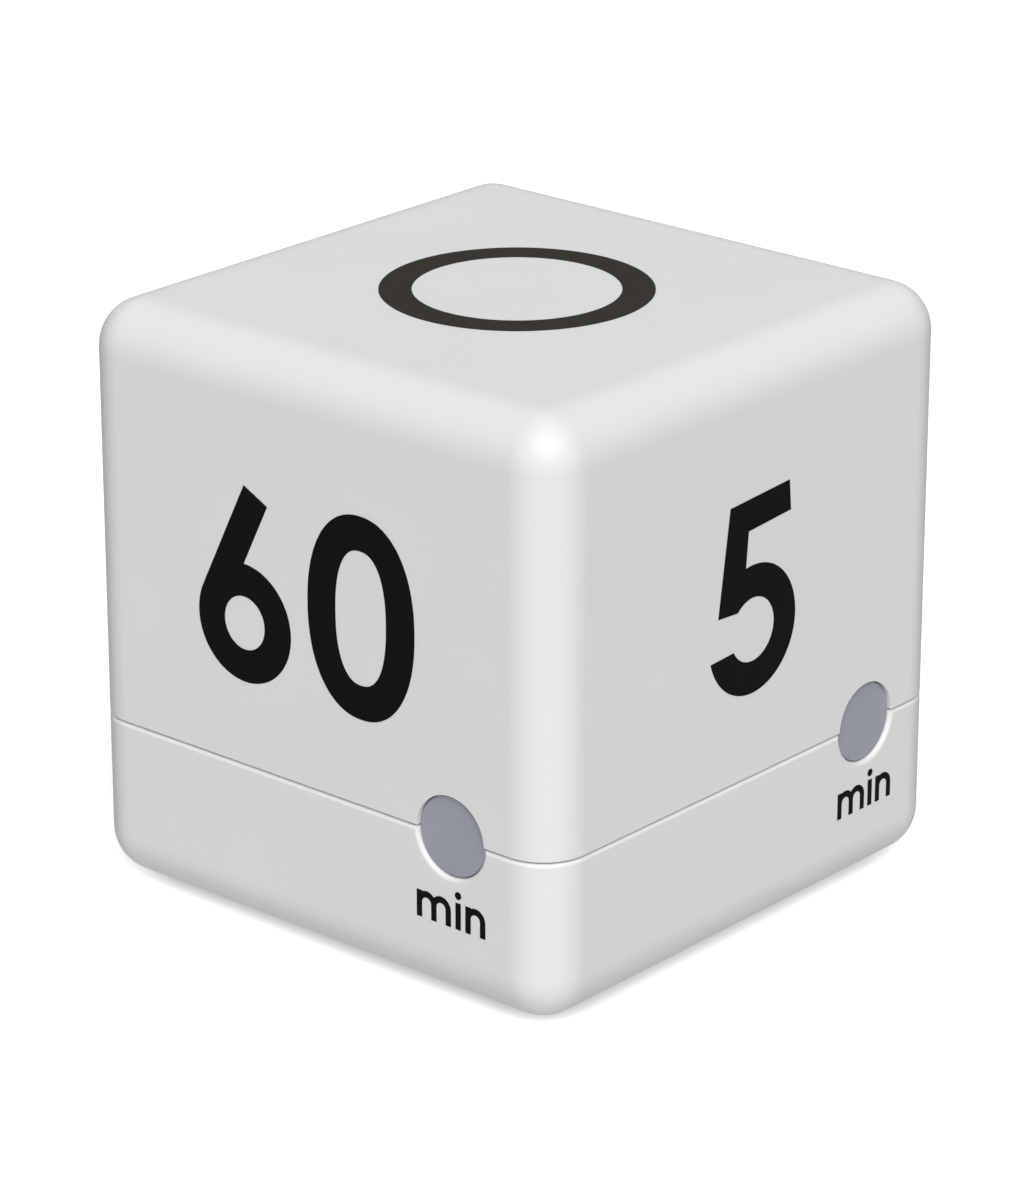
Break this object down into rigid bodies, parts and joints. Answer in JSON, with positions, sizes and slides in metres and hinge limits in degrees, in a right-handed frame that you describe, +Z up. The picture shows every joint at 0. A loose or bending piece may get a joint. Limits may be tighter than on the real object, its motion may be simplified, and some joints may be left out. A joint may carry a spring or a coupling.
{
  "type": "cube kitchen timer",
  "caption": "White cube timer with rounded edges: turned onto a face it counts the minutes then on top, with light windows at the shell joint and the display below.",
  "frame": {"origin": "centre of the bottom face, which is the display side", "axes": "+Z up through the face marked 0, the face marked 60 towards -Y, 5 towards +X, 15 towards +Y and 30 towards -X"},
  "size_m": [0.064, 0.064, 0.064],
  "materials": {
    "white_plastic": "satin moulded ABS",
    "window_plastic": "smoke-grey translucent",
    "clear_plastic": "clear polished",
    "grey_knob": "fine texture",
    "natural_plastic": "moulded",
    "black_plastic": "moulded",
    "foam": "closed-cell foam",
    "cell_metal": "nickel plated",
    "jacket_film": "printed film",
    "contact_metal": "nickel plated spring steel",
    "board_green": "solder mask",
    "pin_metal": "gold flashed",
    "resin": "cast resin",
    "chip_ceramic": "fired",
    "can_steel": "drawn and plated",
    "lead_tin": "tinned",
    "capacitor_sleeve": "sleeved",
    "lamp_red": "diffused epoxy",
    "buzzer_core": "moulded with iron core",
    "magnet": "sintered ferrite",
    "copper_wire": "enamelled winding",
    "lcd_glass": "polished",
    "reflector_film": "matt",
    "strip_rubber": "silicone",
    "ball_steel": "polished",
    "screw_steel": "zinc plated"
  },
  "bodies": {
    "case": {"buzzer_base": "buzzer_core", "buzzer_case": "black_plastic", "buzzer_coil": "copper_wire", "buzzer_diaphragm": "can_steel", "buzzer_magnet": "magnet", "cell_1_can": "cell_metal", "cell_1_jacket": "jacket_film", "cell_2_can": "cell_metal", "cell_2_jacket": "jacket_film", "chip_blob": "resin", "chip_components": "chip_ceramic", "contact_bridge": "contact_metal", "contact_negative": "contact_metal", "contact_positive": "contact_metal", "crystal_can": "can_steel", "display_board": "board_green", "display_board_screws": "screw_steel", "display_lens": "clear_plastic", "electrolytic_capacitor": "capacitor_sleeve", "lcd_bezel": "natural_plastic", "lcd_front_glass": "lcd_glass", "lcd_rear_glass": "lcd_glass", "lcd_reflector": "reflector_film", "led_lamp_15": "lamp_red", "led_lamp_30": "lamp_red", "led_lamp_5": "lamp_red", "led_lamp_60": "lamp_red", "led_leads": "lead_tin", "led_window_15": "window_plastic", "led_window_30": "window_plastic", "led_window_5": "window_plastic", "led_window_60": "window_plastic", "link_header": "black_plastic", "link_pins": "pin_metal", "lower_shell": "white_plastic", "main_board": "board_green", "main_board_screws": "screw_steel", "shell_screws": "screw_steel", "spring_bridge": "contact_metal", "spring_negative": "contact_metal", "switch_frame": "can_steel", "tilt_can_1": "can_steel", "tilt_can_2": "can_steel", "tilt_can_3": "can_steel", "tilt_can_4": "can_steel", "tilt_cradle": "natural_plastic", "tilt_pins": "pin_metal", "tilt_plugs": "black_plastic", "transistors": "resin", "upper_shell": "white_plastic", "zebra_strips": "strip_rubber"},
    "battery_door": {"battery_door": "white_plastic", "door_foam_strips": "foam"},
    "power_knob": {"switch_knob": "grey_knob", "switch_slider": "black_plastic"},
    "tilt_ball_1": {"tilt_ball_1": "ball_steel"},
    "tilt_ball_2": {"tilt_ball_2": "ball_steel"},
    "tilt_ball_3": {"tilt_ball_3": "ball_steel"},
    "tilt_ball_4": {"tilt_ball_4": "ball_steel"}
  },
  "joints": [
    {"name": "battery_door_hinge", "type": "hinge", "parent": "case", "child": "battery_door", "pos_m": [0, -0.0213, 0], "axis": [-1, 0, 0], "range_deg": [0, 80]},
    {"name": "power_knob_slide", "type": "slide", "parent": "case", "child": "power_knob", "axis": [0, 1, 0], "range_m": [0, 0.002]},
    {"name": "tilt_ball_1_roll", "type": "slide", "parent": "case", "child": "tilt_ball_1", "axis": [-0.5774, -0.5774, 0.5774], "range_m": [0, 0.0034]},
    {"name": "tilt_ball_2_roll", "type": "slide", "parent": "case", "child": "tilt_ball_2", "axis": [0.5774, -0.5774, 0.5774], "range_m": [0, 0.0034]},
    {"name": "tilt_ball_3_roll", "type": "slide", "parent": "case", "child": "tilt_ball_3", "axis": [0.5774, 0.5774, 0.5774], "range_m": [0, 0.0034]},
    {"name": "tilt_ball_4_roll", "type": "slide", "parent": "case", "child": "tilt_ball_4", "axis": [-0.5774, 0.5774, 0.5774], "range_m": [0, 0.0034]}
  ]
}
